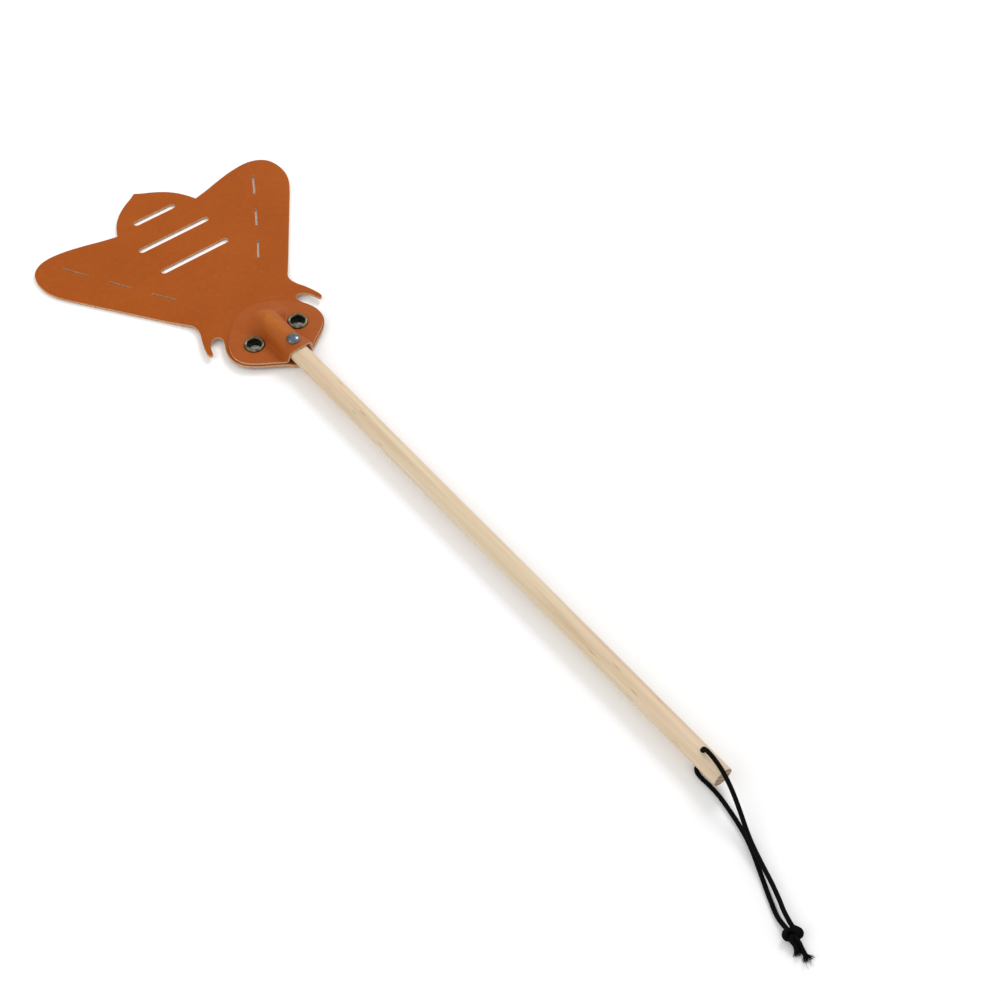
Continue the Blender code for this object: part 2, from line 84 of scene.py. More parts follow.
TAIL_LOBE = [
    (0, 182), (4.5, 179.2), (10.5, 176), (17, 171.6), (22.5, 166.3), (26.7, 160.4), (30, 154),
]
WING_AND_FACE = [
    (30, 154), (40, 156.3), (52, 159.6), (64, 162.2), (75, 163), (83, 161.2), (88.8, 156.8),
    (91.6, 150), (92, 141.5), (90, 133.6), (85.5, 125.5), (75, 111), (64, 96), (53, 81),
    (43.5, 68), (38.6, 61.4), (36, 57.5), (35.3, 53), (36.3, 48.2), (38.8, 42.5), (41, 36.5),
    (42.3, 31.6), (42, 29.2), (40.6, 28.5), (39.4, 29.9), (38.4, 33), (36.6, 36.2),
    (34, 38.8), (31.2, 39.8), (28.9, 38.4), (28.2, 35.7), (29.2, 32.4), (30.9, 29),
    (32.6, 24.5), (33.2, 20), (32.6, 15.2), (30.4, 10.6), (26.6, 6.6), (21, 2.6), (15, -1),
    (9.5, -4.6), (5, -7.6), (0, -9.3),
]
PATCH = [
    (0, 48.2), (7, 47), (14, 43.4), (20.6, 38.2), (25.8, 32.6), (29.4, 27), (31.4, 21.5),
    (31.8, 16.4), (30, 11.4), (26.2, 7.2), (20.8, 3.3), (14.8, -0.4), (8.8, -4.3), (0, -8.3),
]
BELLY_SLOTS = [(15.6, 157), (26.3, 133.6), (25.2, 109.4)]
BELLY_SLOT_WIDTH = 4.2
WING_SLITS = [((31.2, 83.6), (40.2, 97)), ((47.4, 108.8), (56.1, 122.4)), ((63.5, 134.4), (72.8, 149.8))]
WING_SLIT_WIDTH = 1.2
PINHOLES = [
    (0, 86), (9.8, 85), (-9.8, 85), (18.4, 79.6), (-18.4, 79.6), (25.3, 72), (-25.3, 72),
    (16.6, 47.6), (-16.6, 47.6),
]
PINHOLE_RADIUS = 0.6
EYE = (16.2, 19)
EYE_BORE = 4.25
EYE_BARREL = 4.75
EYE_RIM = 6.5
EYE_HOLE = 5.05
EYE_RIM_LIFT = 0.15
EYE_RIM_HEIGHT = 1.2
EYE_BACK_DEPTH = 1.55
EYE_ROLL_HEIGHT = 0.45
RIVET_HOLE = 1.7
RIVET_CAP_RADIUS = 4.2
RIVET_SKIRT_HEIGHT = 0.35
RIVET_DOME_HEIGHT = 1.7
RIVET_POST_RADIUS = 1.3
RIVET_POST_FOOT = 1.1

# Cord, in millimetres: across, along from the dowel's tail, up
CORD_RADIUS = 1.25
CORD_STEP = 0.6
BRAID_YARNS = 8
BRAID_REPEAT = 1.0
THREAD_CLEARANCE = 0.16
THREAD_STEPS = 5
UPPER_ROUTE = [
    (0, 16.2, 5), (0, 16.2, 12), (0, 16.2, 15.9), (-0.1, 15.6, 17.6), (-0.4, 13.2, 18.9),
    (-0.8, 9.3, 19.3), (-1.3, 4.8, 18.9), (-1.9, 0.2, 17.8), (-2.8, -4.5, 16.2), (-3.8, -9, 14.3),
    (-5.1, -13.6, 12.2), (-6.6, -18.2, 10.2), (-8.3, -22.8, 8.4), (-10.2, -27.6, 6.9),
    (-12.4, -33.4, 5.7), (-14.6, -40, 4.9), (-17, -47.4, 4.5), (-19.5, -55.2, 4.3),
    (-22.7, -63.4, 4.3), (-26, -70.6, 4.8),
]
LOWER_ROUTE = [
    (0, 16.2, 4.6), (-0.3, 16.2, 2.7), (-1.7, 15.9, 1.6), (-3.5, 14.8, 1.35), (-4.7, 12.4, 1.3),
    (-5, 8.7, 1.3), (-4.8, 4.3, 1.3), (-4.9, -1.3, 1.3), (-5.5, -6.8, 1.3), (-6.5, -12.3, 1.3),
    (-7.7, -18.2, 1.3), (-9.1, -23.8, 1.3), (-10.9, -29.9, 1.3), (-13.7, -36.8, 1.3),
    (-17, -43.8, 1.3), (-20.9, -51.8, 1.3), (-25.2, -60.8, 1.3), (-28.7, -69, 1.4),
]
KNOT_CENTRE = (-30.3, -80.5, 3.6)
KNOT_HEADING = math.radians(-25)
# The overhand knot's turns about its own middle: across, along towards the tails, up
OUTER_TURNS = [
    (1.0, -3.6, 0.8), (1.8, -1.9, 1.9), (3.9, -0.1, 1.4), (3.7, 1.7, 0.1), (0.4, 2.1, -1.4),
    (-3.2, 1.6, -0.8), (-4.4, -0.1, 0.3), (-3.0, -1.7, 1.0), (0.2, -2.0, -1.1), (1.7, -0.4, -1.5),
    (1.0, 1.2, 0.3), (0.6, 2.9, 1.0),
]
INNER_TURNS = [
    (-1.6, -3.6, -0.9), (-0.6, -2.0, 0.5), (1.4, -0.6, 2.3), (2.2, 0.7, 1.6), (0.6, 1.2, 0.4),
    (-1.5, 1.1, -1.6), (-2.6, 0.1, -1.4), (-2.4, -0.9, -0.5), (-0.5, -0.8, -2.0), (0.1, 0.3, -1.3),
    (-1.0, 1.5, 0.9), (-1.9, 2.9, 0.5),
]
LONG_TAIL = [
    (-31, -86, 3.2), (-31.4, -88, 2.2), (-31.8, -90, 1.5), (-32.3, -91.8, 1.35), (-32.7, -93, 1.35),
]
SHORT_TAIL = [
    (-33.3, -85.4, 2.9), (-33.8, -86.8, 2.1), (-34.2, -88.2, 1.5),
]

# Room, in metres, watts and degrees
TABLE_HALF_WIDTH = 4.0
TABLE_DROP = 0.0001
SKY_STRENGTH = 0.77
KEY_LIGHT = {"place": (1.15, 0.5, 1.35), "target": (0.0, 0.0, 0.0), "size": 0.6, "power": 11.5}
FILL_LIGHT = {"place": (-1.2, 0.1, 1.2), "target": (0.0, 0.05, 0.0), "size": 1.1, "power": 6.5}
CAMERA_PLACE = (-0.3839, -0.5113, 0.785)
CAMERA_HEADING = 42.84
CAMERA_PITCH = 52.26
CAMERA_ROLL = -3.97
CAMERA_LENS_MM = 61.7


# ---- curves and rings ----

def catmull_rom(a, b, c, d, t):
    """The point at t between b and c on the spline through a, b, c and d."""
    return 0.5 * (
        2 * b + (c - a) * t + (2 * a - 5 * b + 4 * c - d) * t * t + (3 * b - a - 3 * c + d) * t ** 3
    )


def smooth_line(points, spacing):
    """Points along a smooth curve through the given ones, both ends included."""
    points = [Vector(point) for point in points]
    padded = [2 * points[0] - points[1]] + points + [2 * points[-1] - points[-2]]
    line = []
    for index in range(1, len(padded) - 2):
        a, b, c, d = padded[index - 1:index + 3]
        count = max(2, round((c - b).length / spacing))
        line += [catmull_rom(a, b, c, d, step / count) for step in range(count)]
    return line + [points[-1]]


def even_line(line, spacing):
    """The same line with its points an even distance apart."""
    lengths = [0.0]
    for first, second in zip(line, line[1:]):
        lengths.append(lengths[-1] + (second - first).length)
    count = max(2, round(lengths[-1] / spacing))
    result = []
    segment = 0
    for step in range(count + 1):
        target = lengths[-1] * step / count
        while segment < len(line) - 2 and lengths[segment + 1] < target:
            segment += 1
        span = lengths[segment + 1] - lengths[segment]
        share = (target - lengths[segment]) / span if span else 0
        result.append(line[segment].lerp(line[segment + 1], share))
    return result


def mirrored_ring(right_half):
    """A closed counter-clockwise ring from a right half that runs down the centre line's right."""
    left_half = [Vector((-point.x, point.y)) for point in right_half[1:-1]]
    return list(reversed(right_half)) + left_half


def blade_ring(spacing):
    """The whole fly's outline."""
    lobe = even_line(smooth_line(TAIL_LOBE, 0.5), spacing)
    wing = even_line(smooth_line(WING_AND_FACE, 0.5), spacing)
    return mirrored_ring(lobe + wing[1:])


def patch_half():
    """The right half of the face patch's outline, finely stepped."""
    crown = [(-PATCH[1][0], PATCH[1][1])]
    chin = [(-PATCH[-2][0], PATCH[-2][1])]
    line = smooth_line(crown + PATCH + chin, 0.15)
    middles = [index for index, point in enumerate(line) if abs(point.x) < 1e-6]
    return line[middles[0]:middles[-1] + 1]


def ring(x, y, radius, count):
    """A circle of points."""
    angles = [2 * math.pi * index / count for index in range(count)]
    return [Vector((x + radius * math.cos(angle), y + radius * math.sin(angle))) for angle in angles]


def slot(start, end, width, arc_points, spacing):
    """A round-ended slot between the two ends of its overall length, counter-clockwise."""
    start, end = Vector(start), Vector(end)
    along = (end - start).normalized()
    across = Vector((-along.y, along.x))
    radius = width / 2
    ends = (end - along * radius, start + along * radius)
    count = max(1, round((ends[0] - ends[1]).length / spacing))
    points = []
    for centre, other, forward, side in (
        (ends[0], ends[1], along, -across), (ends[1], ends[0], -along, across),
    ):
        for index in range(arc_points + 1):
            angle = math.pi * index / arc_points
            points.append(centre + radius * (side * math.cos(angle) + forward * math.sin(angle)))
        for index in range(1, count):
            points.append(centre.lerp(other, index / count) - side * radius)
    return points


def clamp_holes():
    """The holes that both leathers share."""
    eyes = [ring(side * EYE[0], EYE[1], EYE_HOLE, 40) for side in (-1, 1)]
    return eyes + [ring(0, 0, RIVET_HOLE, 20)]


def blade_holes():
    """Every cut inside the blade's outline."""
    holes = []
    for half_length, row in BELLY_SLOTS:
        holes.append(slot((-half_length, row), (half_length, row), BELLY_SLOT_WIDTH, 10, 1.6))
    for inner, outer in WING_SLITS:
        for side in (-1, 1):
            start, end = (side * inner[0], inner[1]), (side * outer[0], outer[1])
            holes.append(slot(start, end, WING_SLIT_WIDTH, 6, 1.4))
    for x, y in PINHOLES:
        holes.append(ring(x, y, PINHOLE_RADIUS, 10))
    return holes + clamp_holes()


# ---- where the leather lies ----

def smoothstep(start, end, value):
    """0 before start, 1 after end, smooth between."""
    t = min(1.0, max(0.0, (value - start) / (end - start)))
    return t * t * (3 - 2 * t)


def head_level(x, y):
    """The underside of the head, which cradles the dowel and settles to the table at the wings."""
    cradle = 1 - math.exp(-(abs(x) / CRADLE_HALF_WIDTH) ** 4)
    return (HEAD_LIFT + HEAD_SIDE_RISE * cradle) * (1 - smoothstep(HEAD_FLAT_FROM, WING_FLAT_FROM, y))


def blade_point(x, y):
    """A point on the blade's underside."""
    return Vector((x, y, head_level(x, y)))


def bulge_point(t, y):
    """A point of the patch's underside, t from 0 on the crown past 3 on the flat."""
    soften = smoothstep(SOFTEN_FROM, SOFTEN_TO, y)
    slope = STEEP_SLOPE + (SOFT_SLOPE - STEEP_SLOPE) * soften
    foot = STEEP_FOOT + (SOFT_FOOT - STEEP_FOOT) * soften
    axis = DOWEL_AXIS_Z / MM
    level = head_level(EYE[0], 0) + BLADE_THICKNESS + LAYER_GAP
    turn = math.pi / 2 - slope
    wall_x = BULGE_RADIUS * math.cos(slope)
    wall_z = axis + BULGE_RADIUS * math.sin(slope)
    foot_x = wall_x + (wall_z - level) * math.tan(slope) + foot * math.tan(turn / 2)
    arc_end = Vector((wall_x, wall_z))
    foot_start = Vector((foot_x - foot * math.cos(slope), level + foot - foot * math.sin(slope)))
    if t <= 1:
        angle = math.pi / 2 - turn * t
        x, z = BULGE_RADIUS * math.cos(angle), axis + BULGE_RADIUS * math.sin(angle)
    elif t <= 2:
        x, z = arc_end.lerp(foot_start, t - 1)
    elif t <= 3:
        angle = math.pi + slope + turn * (t - 2)
        x, z = foot_x + foot * math.cos(angle), level + foot + foot * math.sin(angle)
    else:
        x, z = foot_x + (t - 3) * 30, level
    fade = 1 - smoothstep(FADE_FROM, FADE_TO, y)
    here = head_level(max(x, EYE[0]), y) + BLADE_THICKNESS + LAYER_GAP
    return Vector((x, y, here + (z - level) * fade))


def mouth_flare(u, y):
    """How the chin's leather stands off the dowel's right side, where the dowel comes out."""
    beside = smoothstep(3, 8, u) * (1 - smoothstep(13, 19, u))
    return Vector((0.9, 0, 0.44)) * MOUTH_FLARE * beside * (1 - smoothstep(-5, 7, y))


class PatchMap:
    """Unrolls the face patch: u runs along the leather from the crown, in millimetres."""

    def __init__(self):
        self.stations = [index * 0.02 for index in range(201)]
        self.lengths = [0.0]
        points = [bulge_point(t, 0) for t in self.stations]
        for first, second in zip(points, points[1:]):
            self.lengths.append(self.lengths[-1] + (second - first).length)

    def station(self, u):
        """The bulge's t at an unrolled distance."""
        low, high = 0, len(self.lengths) - 1
        while high - low > 1:
            middle = (low + high) // 2
            if self.lengths[middle] <= u:
                low = middle
            else:
                high = middle
        share = (u - self.lengths[low]) / (self.lengths[high] - self.lengths[low])
        return self.stations[low] + share * (self.stations[high] - self.stations[low])

    def point(self, u, y):
        """The patch's underside at unrolled distance u and row y."""
        point = bulge_point(self.station(abs(u)), y)
        point.x = math.copysign(point.x, u)
        dimple = math.exp(-(math.hypot(point.x, y) / DIMPLE_RADIUS) ** 6)
        point.z -= DIMPLE_DEPTH * dimple
        return point

    def flared_point(self, u, y):
        """The same, with the chin standing off the dowel's right side."""
        return self.point(u, y) + mouth_flare(u, y)

    def unroll(self, x, y):
        """The unrolled place of a point seen from above."""
        low, high = 0.0, self.lengths[-1]
        for _ in range(30):
            middle = (low + high) / 2
            if self.point(middle, y).x < abs(x):
                low = middle
            else:
                high = middle
        return Vector((math.copysign((low + high) / 2, x), y))


# ---- leather meshes ----

def shifted_loop(loop, distance):
    """A counter-clockwise ring moved to its left."""
    result = []
    for index, point in enumerate(loop):
        along = (loop[(index + 1) % len(loop)] - loop[index - 1]).normalized()
        result.append(point + Vector((-along.y, along.x)) * distance)
    return result


def grid_inside(loops, spacing):
    """Staggered points over the outline's box that keep clear of every loop."""
    edge = [point for loop in loops for point in loop]
    tree = KDTree(len(edge))
    for index, point in enumerate(edge):
        tree.insert((point.x, point.y, 0), index)
    tree.balance()
    low = Vector((min(p.x for p in edge), min(p.y for p in edge)))
    high = Vector((max(p.x for p in edge), max(p.y for p in edge)))
    points = []
    for row in range(int((high.y - low.y) / (spacing * 0.87)) + 1):
        for column in range(int((high.x - low.x) / spacing) + 2):
            point = Vector((low.x + (column + 0.5 * (row % 2)) * spacing, low.y + row * spacing * 0.87))
            if tree.find((point.x, point.y, 0))[2] > 0.6 * spacing:
                points.append(point)
    return points


def lifted(place, point, height):
    """The 3D point at a height over the sheet's underside, along its normal, in metres."""
    step = 0.05
    here = place(point.x, point.y)
    across = place(point.x + step, point.y) - here
    along = place(point.x, point.y + step) - here
    spot = here + across.cross(along).normalized() * height
    return Vector((spot.x * MM, spot.y * MM + RIVET_Y, spot.z * MM))


def leather_sheet(name, outline, holes, spacing, place, thickness, mats):
    """A thick sheet with softly broken edges: grain face up, raw edges, suede underneath."""
    sides = [1] + [-1] * len(holes)
    loops = [outline] + holes
    insides = [shifted_loop(loop, side * EDGE_ROUNDING) for loop, side in zip(loops, sides)]
    points, triangles, loop_indices = filled_outline(insides, spacing)
    used = {index for triangle in triangles for index in triangle}
    solid = bmesh.new()
    top = {index: solid.verts.new(lifted(place, points[index], thickness)) for index in used}
    bottom = {index: solid.verts.new(lifted(place, points[index], 0)) for index in used}
    for triangle in triangles:
        solid.faces.new([top[index] for index in triangle]).material_index = 0
        solid.faces.new([bottom[index] for index in reversed(triangle)]).material_index = 2
    for loop, indices, side in zip(loops, loop_indices, sides):
        above = [top[index] for index in indices]
        below = [bottom[index] for index in indices]
        raw_rim(solid, above, below, loop, side, place, thickness)
    bmesh.ops.recalc_face_normals(solid, faces=solid.faces)
    return finish_mesh(name, solid, mats, LEATHER_FOLD)


def filled_outline(loops, spacing):
    """Flat points and triangles between the outline and its holes, and where each loop's points are."""
    coordinates = []
    faces = []
    for loop in loops:
        faces.append(list(range(len(coordinates), len(coordinates) + len(loop))))
        coordinates += loop
    coordinates += grid_inside(loops, spacing)
    points, _, triangles, origins, _, sources = delaunay_2d_cdt(coordinates, [], faces, 1, 1e-6)
    found = {origin: index for index, group in enumerate(origins) for origin in group}
    kept = [triangle for triangle, source in zip(triangles, sources) if source == [0]]
    return points, kept, [[found[index] for index in face] for face in faces]


def raw_rim(solid, above, below, loop, side, place, thickness):
    """The cut edge between the two faces, its corners broken a little."""
    bevel = 0.3 * EDGE_ROUNDING
    levels = [
        (bevel, thickness - bevel), (0, thickness - EDGE_ROUNDING), (0, EDGE_ROUNDING), (bevel, bevel),
    ]
    rings = [above]
    for inset, height in levels:
        moved = shifted_loop(loop, side * inset)
        rings.append([solid.verts.new(lifted(place, point, height)) for point in moved])
    rings.append(below)
    for upper, lower, material_slot in zip(rings, rings[1:], [0, 1, 1, 1, 2]):
        for index in range(len(loop)):
            after = (index + 1) % len(loop)
            face = solid.faces.new((upper[index], lower[index], lower[after], upper[after]))
            face.material_index = material_slot


def finish_mesh(name, solid, mats, angle):
    """Turn a bmesh into a smooth-shaded object with sharp edges kept."""
    mesh = bpy.data.meshes.new(name)
    solid.to_mesh(mesh)
    solid.free()
    for mat in mats:
        mesh.materials.append(mat)
    mesh.shade_smooth()
    mesh.set_sharp_from_angle(angle=math.radians(angle))
    obj = bpy.data.objects.new(name, mesh)
    bpy.context.scene.collection.objects.link(obj)
    return obj


# ---- materials ----

class Nodes:
    """Short names for building one material's nodes."""

    def __init__(self, name, roughness, metallic=0.0):
        self.mat = bpy.data.materials.new(name)
        self.mat.use_nodes = True
        self.tree = self.mat.node_tree
        self.shader = self.tree.nodes["Principled BSDF"]
        self.shader.inputs["Roughness"].default_value = roughness
        self.shader.inputs["Metallic"].default_value = metallic
        self.coordinates = self.tree.nodes.new("ShaderNodeTexCoord").outputs["Object"]

    def link(self, output, target):
        self.tree.links.new(output, target)

    def stretched(self, scale):
        """The object's coordinates scaled along each axis."""
        node = self.tree.nodes.new("ShaderNodeMapping")
        self.link(self.coordinates, node.inputs["Vector"])
        node.inputs["Scale"].default_value = scale
        return node.outputs["Vector"]

    def noise(self, scale, detail, vector=None, distortion=0.0):
        node = self.tree.nodes.new("ShaderNodeTexNoise")
        self.link(vector or self.coordinates, node.inputs["Vector"])
        node.inputs["Scale"].default_value = scale
        node.inputs["Detail"].default_value = detail
        node.inputs["Distortion"].default_value = distortion
        return node.outputs["Fac"]

    def cells(self, scale, feature="F1", vector=None):
        node = self.tree.nodes.new("ShaderNodeTexVoronoi")
        node.feature = feature
        self.link(vector or self.coordinates, node.inputs["Vector"])
        node.inputs["Scale"].default_value = scale
        return node.outputs["Distance"]

    def ramp(self, factor, stops):
        """A colour ramp from (position, colour) stops."""
        node = self.tree.nodes.new("ShaderNodeValToRGB")
        self.link(factor, node.inputs["Fac"])
        elements = node.color_ramp.elements
        while len(elements) < len(stops):
            elements.new(0.5)
        for element, (position, colour) in zip(elements, stops):
            element.position = position
            element.color = (*colour, 1)
        return node.outputs["Color"]

    def grey(self, factor, low, high, start=0.0, end=1.0):
        """A number between low and high as the factor goes from start to end."""
        node = self.tree.nodes.new("ShaderNodeMapRange")
        self.link(factor, node.inputs["Value"])
        node.inputs["From Min"].default_value = start
        node.inputs["From Max"].default_value = end
        node.inputs["To Min"].default_value = low
        node.inputs["To Max"].default_value = high
        return node.outputs["Result"]

    def mix(self, factor, first, second):
        """Two colours mixed by a linked factor."""
        node = self.tree.nodes.new("ShaderNodeMix")
        node.data_type = "RGBA"
        self.link(factor, node.inputs[0])
        self.put(first, node.inputs[6])
        self.put(second, node.inputs[7])
        return node.outputs[2]

    def put(self, value, target):
        """Link an output, or set a fixed colour."""
        if isinstance(value, tuple):
            target.default_value = (*value, 1)
        else:
            self.link(value, target)

    def math(self, operation, first, second=0.0):
        node = self.tree.nodes.new("ShaderNodeMath")
        node.operation = operation
        for value, target in ((first, node.inputs[0]), (second, node.inputs[1])):
            if isinstance(value, (int, float)):
                target.default_value = value
            else:
                self.link(value, target)
        return node.outputs["Value"]

    def colour(self, value):
        self.put(value, self.shader.inputs["Base Color"])

    def rough(self, value):
        self.link(value, self.shader.inputs["Roughness"])

    def bump(self, heights):
        """Stack bumps of (height, strength, distance in metres)."""
        normal = None
        for height, strength, distance in heights:
            node = self.tree.nodes.new("ShaderNodeBump")
            node.inputs["Strength"].default_value = strength
            node.inputs["Distance"].default_value = distance
            self.link(height, node.inputs["Height"])
            if normal:
                self.link(normal, node.inputs["Normal"])
            normal = node.outputs["Normal"]
        self.link(normal, self.shader.inputs["Normal"])


def grain_leather(name, gloss, painted_crown_highlight=False):
    """Tan leather, grain side: soft mottled dye, fine pebbles and pores, low satin gloss."""
    n = Nodes(name, 0.5)
    broad = n.noise(14, 3)
    dye = n.ramp(broad, [
        (0.3, (0.3234, 0.0666, 0.0051)), (0.5, (0.3420, 0.0735, 0.0061)), (0.7, (0.3626, 0.0813, 0.0076)),
    ])
    mottle = n.noise(330, 4)
    mottled = n.mix(n.grey(mottle, 0.0, 0.3, 0.45, 0.75), dye, (0.4116, 0.1029, 0.0118))
    # The paler colour along the patch's crown is a painted highlight on the ridge over the dowel.
    if painted_crown_highlight:
        mottled = n.mix(crown_highlight_mask(n), mottled, (0.50, 0.165, 0.020))
    pores = n.cells(1900)
    n.colour(n.mix(n.grey(pores, 0.25, 0.0, 0.0, 0.28), mottled, (0.22, 0.045, 0.004)))
    n.rough(n.grey(n.noise(120, 5), 0.42, 0.6, 0.3, 0.7))
    n.shader.inputs["Specular IOR Level"].default_value = gloss
    creases = n.cells(1100, "DISTANCE_TO_EDGE")
    n.bump([(n.noise(60, 3), 0.2, 0.0005), (creases, 0.2, 0.0001), (n.noise(2600, 2), 0.2, 0.00007)])
    return n.mat


def crown_highlight_mask(n):
    """Where the painted highlight lies: a paler band along the ridge over the dowel's end."""
    axes = n.tree.nodes.new("ShaderNodeSeparateXYZ")
    n.link(n.coordinates, axes.inputs["Vector"])
    off_crown = n.math("ABSOLUTE", axes.outputs["X"])
    across = n.grey(off_crown, 0.6, 0.0, 0.001, 0.0075)
    near = n.grey(axes.outputs["Y"], 0.0, 1.0, RIVET_Y - 0.002, RIVET_Y + 0.014)
    far = n.grey(axes.outputs["Y"], 1.0, 0.0, RIVET_Y + 0.026, RIVET_Y + 0.042)
    patchy = n.grey(n.noise(150, 3), 0.5, 1.0, 0.35, 0.6)
    return n.math("MULTIPLY", n.math("MULTIPLY", across, patchy), n.math("MULTIPLY", near, far))


def raw_edge():
    """The cut edge: pale felted fibre, darker in places."""
    n = Nodes("leather_raw_edge", 0.85)
    fibres = n.noise(900, 5, n.stretched((1, 1, 2.5)))
    n.colour(n.ramp(fibres, [
        (0.3, (0.34, 0.165, 0.075)), (0.5, (0.52, 0.29, 0.155)), (0.72, (0.68, 0.45, 0.28)),
    ]))
    n.bump([(fibres, 0.5, 0.0002)])
    return n.mat


def suede():
    """The flesh side: soft, matt and paler than the grain."""
    n = Nodes("leather_flesh_side", 0.95)
    nap = n.noise(700, 6)
    broad = n.noise(30, 3)
    n.colour(n.mix(n.grey(broad, 0.2, 0.8, 0.3, 0.7), n.ramp(nap, [
        (0.3, (0.33, 0.185, 0.09)), (0.7, (0.47, 0.28, 0.145)),
    ]), (0.40, 0.225, 0.11)))
    n.shader.inputs["Sheen Weight"].default_value = 0.35
    n.shader.inputs["Sheen Roughness"].default_value = 0.5
    n.bump([(nap, 0.6, 0.00025)])
    return n.mat


def pale_wood():
    """Sanded pale hardwood: long faint figure, fine rays and short dark pores."""
    n = Nodes("pale_dowel_wood", 0.55)
    figure = n.noise(1.0, 4, n.stretched((260, 9, 260)), 0.6)
    rays = n.noise(1.0, 3, n.stretched((1500, 28, 1500)))
    zones = n.noise(1.0, 2, n.stretched((40, 14, 40)))
    base = n.ramp(figure, [
        (0.32, (0.575, 0.43, 0.275)), (0.5, (0.645, 0.51, 0.345)), (0.68, (0.69, 0.572, 0.41)),
    ])
    warm = n.mix(n.grey(zones, 0.0, 0.38, 0.45, 0.75), base, (0.66, 0.45, 0.295))
    fine = n.mix(n.grey(rays, 0.22, 0.0, 0.3, 0.55), warm, (0.52, 0.35, 0.19))
    pores = n.cells(1.0, "F1", n.stretched((430, 32, 430)))
    specks = n.grey(pores, 0.8, 0.0, 0.04, 0.14)
    n.colour(n.mix(specks, fine, (0.30, 0.16, 0.07)))
    n.rough(n.grey(rays, 0.62, 0.48, 0.3, 0.7))
    n.bump([(rays, 0.25, 0.00008), (figure, 0.15, 0.0001), (specks, -0.4, 0.0001)])
    return n.mat


def end_grain():
    """The sawn end of the dowel: darker, with growth rings and saw fuzz."""
    n = Nodes("dowel_end_grain", 0.8)
    wave = n.tree.nodes.new("ShaderNodeTexWave")
    wave.wave_type = "BANDS"
    wave.bands_direction = "DIAGONAL"
    n.link(n.stretched((1, 0, 1)), wave.inputs["Vector"])
    wave.inputs["Scale"].default_value = 190
    wave.inputs["Distortion"].default_value = 1.5
    wave.inputs["Detail"].default_value = 3
    rings = n.ramp(wave.outputs["Fac"], [(0.2, (0.26, 0.18, 0.11)), (0.8, (0.40, 0.30, 0.20))])
    fuzz = n.noise(1600, 4)
    n.colour(n.mix(n.grey(fuzz, 0.0, 0.5, 0.45, 0.7), rings, (0.19, 0.12, 0.065)))
    n.bump([(fuzz, 0.5, 0.00015)])
    return n.mat


def worn_metal(name, bright, dark, roughness, patina):
    """Plated metal with tarnish in soft patches and fine scratches."""
    n = Nodes(name, roughness, 1.0)
    tarnish = n.noise(420, 5)
    scratches = n.noise(1.0, 2, n.stretched((900, 5200, 900)))
    tone = n.ramp(tarnish, [(0.35, dark), (0.35 + patina, bright)])
    n.colour(n.mix(n.grey(scratches, 0.0, 0.25, 0.5, 0.8), tone, dark))
    n.rough(n.grey(tarnish, roughness + 0.18, roughness - 0.05, 0.3, 0.7))
    n.bump([(scratches, 0.12, 0.00004), (tarnish, 0.15, 0.0001)])
    return n.mat


def braided_black():
    """Black braid: two sets of crossing yarns, read from the cord's own length and girth."""
    n = Nodes("black_braid", 0.7)
    uv = n.tree.nodes.new("ShaderNodeUVMap")
    uv.uv_map = "braid"
    split = n.tree.nodes.new("ShaderNodeSeparateXYZ")
    n.link(uv.outputs["UV"], split.inputs["Vector"])
    along, around = split.outputs["X"], split.outputs["Y"]
    girth = n.math("MULTIPLY", around, 2 * math.pi * BRAID_YARNS)
    length = n.math("MULTIPLY", along, 2 * math.pi)
    sets = []
    for lean in ("ADD", "SUBTRACT"):
        phase = n.math("MULTIPLY", n.math(lean, girth, length), 0.5)
        sets.append(n.math("ABSOLUTE", n.math("COSINE", phase)))
    yarns = n.math("MAXIMUM", *sets)
    fuzz = n.noise(4200, 3)
    n.colour(n.ramp(n.math("MULTIPLY", yarns, n.grey(fuzz, 0.7, 1.1)), [
        (0.55, (0.0010, 0.0010, 0.0012)), (0.85, (0.0028, 0.0028, 0.0031)), (1.0, (0.006, 0.006, 0.0064)),
    ]))
    n.rough(n.grey(fuzz, 0.6, 0.85))
    n.shader.inputs["Specular IOR Level"].default_value = 0.06
    n.bump([(yarns, 0.8, 0.0003), (fuzz, 0.3, 0.00006)])
    return n.mat


def black_fibre():
    """Loose black threads at the cord's cut ends."""
    n = Nodes("black_fibre", 0.75)
    fuzz = n.noise(3000, 3)
    n.colour(n.ramp(fuzz, [(0.3, (0.002, 0.002, 0.0025)), (0.7, (0.006, 0.006, 0.0064))]))
    n.shader.inputs["Specular IOR Level"].default_value = 0.06
    n.bump([(fuzz, 0.3, 0.00005)])
    return n.mat


# ---- turned metal ----

def turned(name, profile, place, mats, steps=72):
    """A closed profile of (radius, height, material slot) turned about the vertical, in millimetres."""
    solid = bmesh.new()
    rings = []
    for radius, height, _ in profile:
        if radius < 1e-6:
            rings.append([solid.verts.new((0, 0, height * MM))])
            continue
        rings.append([solid.verts.new((p.x * MM, p.y * MM, height * MM)) for p in ring(0, 0, radius, steps)])
    pairs = list(zip(rings, rings[1:], profile))
    if profile[0][0] > 1e-6:
        pairs.append((rings[-1], rings[0], profile[-1]))
    for first, second, (_, _, material_slot) in pairs:
        for index in range(steps):
            after = (index + 1) % steps
            corners = []
            for ring_points, order in ((first, (index, after)), (second, (after, index))):
                corners += [ring_points[0]] if len(ring_points) == 1 else [ring_points[i] for i in order]
            solid.faces.new(corners).material_index = material_slot
    bmesh.ops.recalc_face_normals(solid, faces=solid.faces)
    obj = finish_mesh(name, solid, mats, TURNED_FOLD)
    obj.location = place
    return obj


